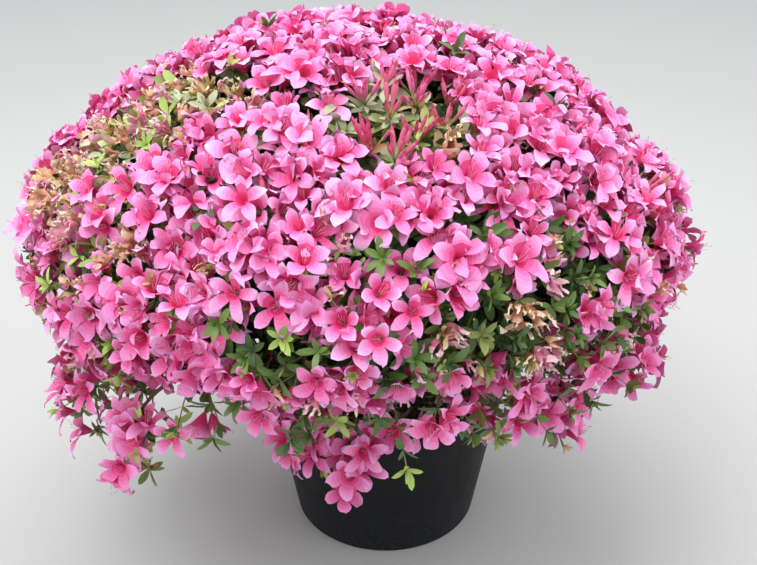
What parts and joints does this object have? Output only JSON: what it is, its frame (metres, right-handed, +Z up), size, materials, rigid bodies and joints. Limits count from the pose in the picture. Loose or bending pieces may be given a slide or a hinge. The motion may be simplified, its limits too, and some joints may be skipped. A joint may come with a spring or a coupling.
{
  "type": "azalea shrub in a nursery pot",
  "caption": "Dome-shaped evergreen azalea in full pink flower, with low hanging sprays, growing in a round black plastic nursery pot.",
  "frame": {"origin": "middle of the pot's flat underside, on the surface it stands on", "axes": "+Z up, -Y towards the side seen in the picture, +X to that view's right"},
  "size_m": [0.8196, 0.765, 0.6905],
  "materials": {
    "pot_plastic": "satin",
    "potting_soil": "matte",
    "bark": "matte",
    "blossom": "matte",
    "leaves": "satin"
  },
  "bodies": {
    "root": {"bough_low_back": "bark", "bough_low_back_left": "bark", "bough_low_back_right": "bark", "bough_low_front": "bark", "bough_low_front_left": "bark", "bough_low_front_right": "bark", "bough_low_left": "bark", "bough_low_right": "bark", "bough_shoulder_1": "bark", "bough_shoulder_2": "bark", "bough_shoulder_3": "bark", "bough_shoulder_4": "bark", "bough_shoulder_5": "bark", "bough_side_1": "bark", "bough_side_2": "bark", "bough_side_3": "bark", "bough_side_4": "bark", "bough_side_5": "bark", "bough_side_6": "bark", "bough_side_7": "bark", "bough_side_8": "bark", "bough_top": "bark", "crown_shoulder_1": "blossom", "crown_shoulder_2": "blossom", "crown_shoulder_3": "blossom", "crown_shoulder_4": "blossom", "crown_shoulder_5": "blossom", "crown_side_1": "blossom", "crown_side_2": "blossom", "crown_side_3": "blossom", "crown_side_4": "blossom", "crown_side_5": "blossom", "crown_side_6": "blossom", "crown_side_7": "blossom", "crown_side_8": "blossom", "crown_top": "blossom", "pot": "pot_plastic", "potting_soil": "potting_soil", "spray_back": "leaves", "spray_back_left": "leaves", "spray_back_right": "leaves", "spray_front": "leaves", "spray_front_left": "leaves", "spray_front_right": "leaves", "spray_left": "leaves", "spray_right": "leaves", "trunk": "bark"}
  },
  "joints": []
}
